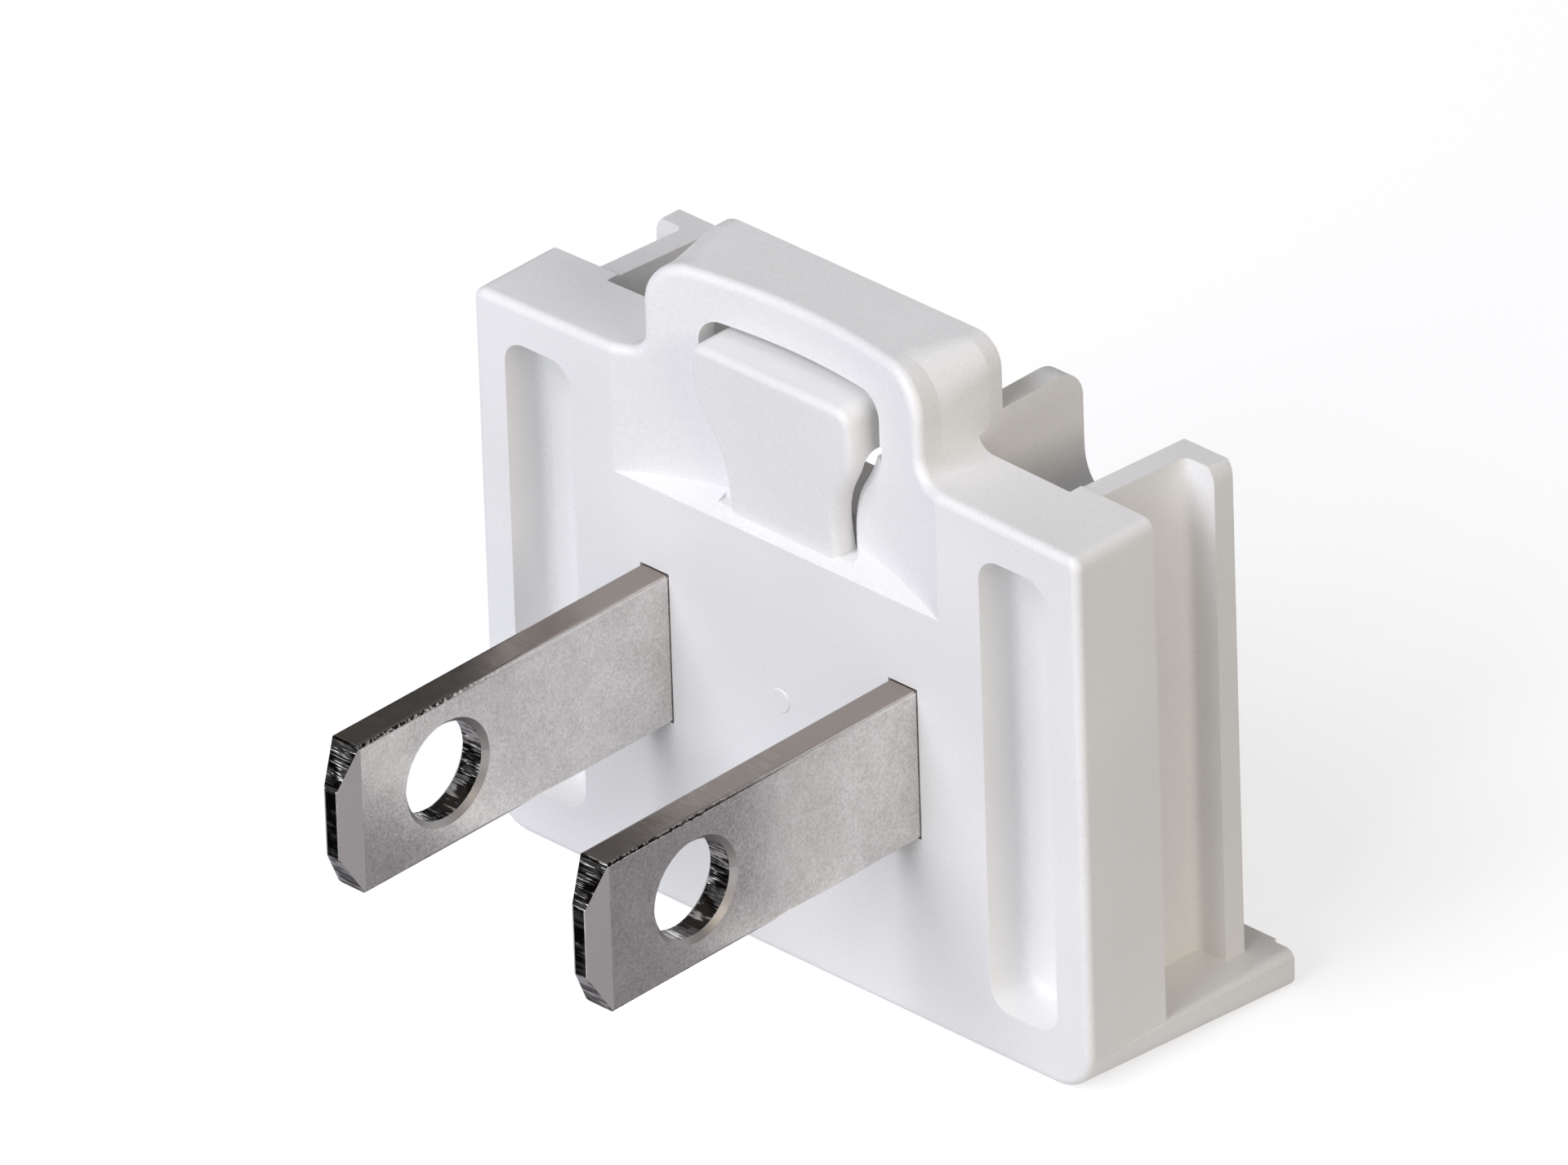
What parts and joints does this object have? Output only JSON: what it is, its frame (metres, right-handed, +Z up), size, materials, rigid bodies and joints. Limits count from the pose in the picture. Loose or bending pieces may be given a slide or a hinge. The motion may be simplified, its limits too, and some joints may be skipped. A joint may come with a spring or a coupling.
{
  "type": "slide-on two-blade plug head",
  "caption": "Slide-on plug head for a wall power supply: a white moulded housing with a latch tongue and rails, and two flat blades.",
  "frame": {"origin": "centre of the foot's underside, which the plug head stands on", "axes": "+X to the right seen from the blades, -Y the way the blades point, +Z up from the foot to the latch"},
  "size_m": [0.0312, 0.0282, 0.0272],
  "materials": {
    "housing": "fine matt white moulding",
    "blades": "satin nickel plate"
  },
  "bodies": {
    "root": {"housing": "housing", "blade_left": "blades", "blade_right": "blades"}
  },
  "joints": []
}
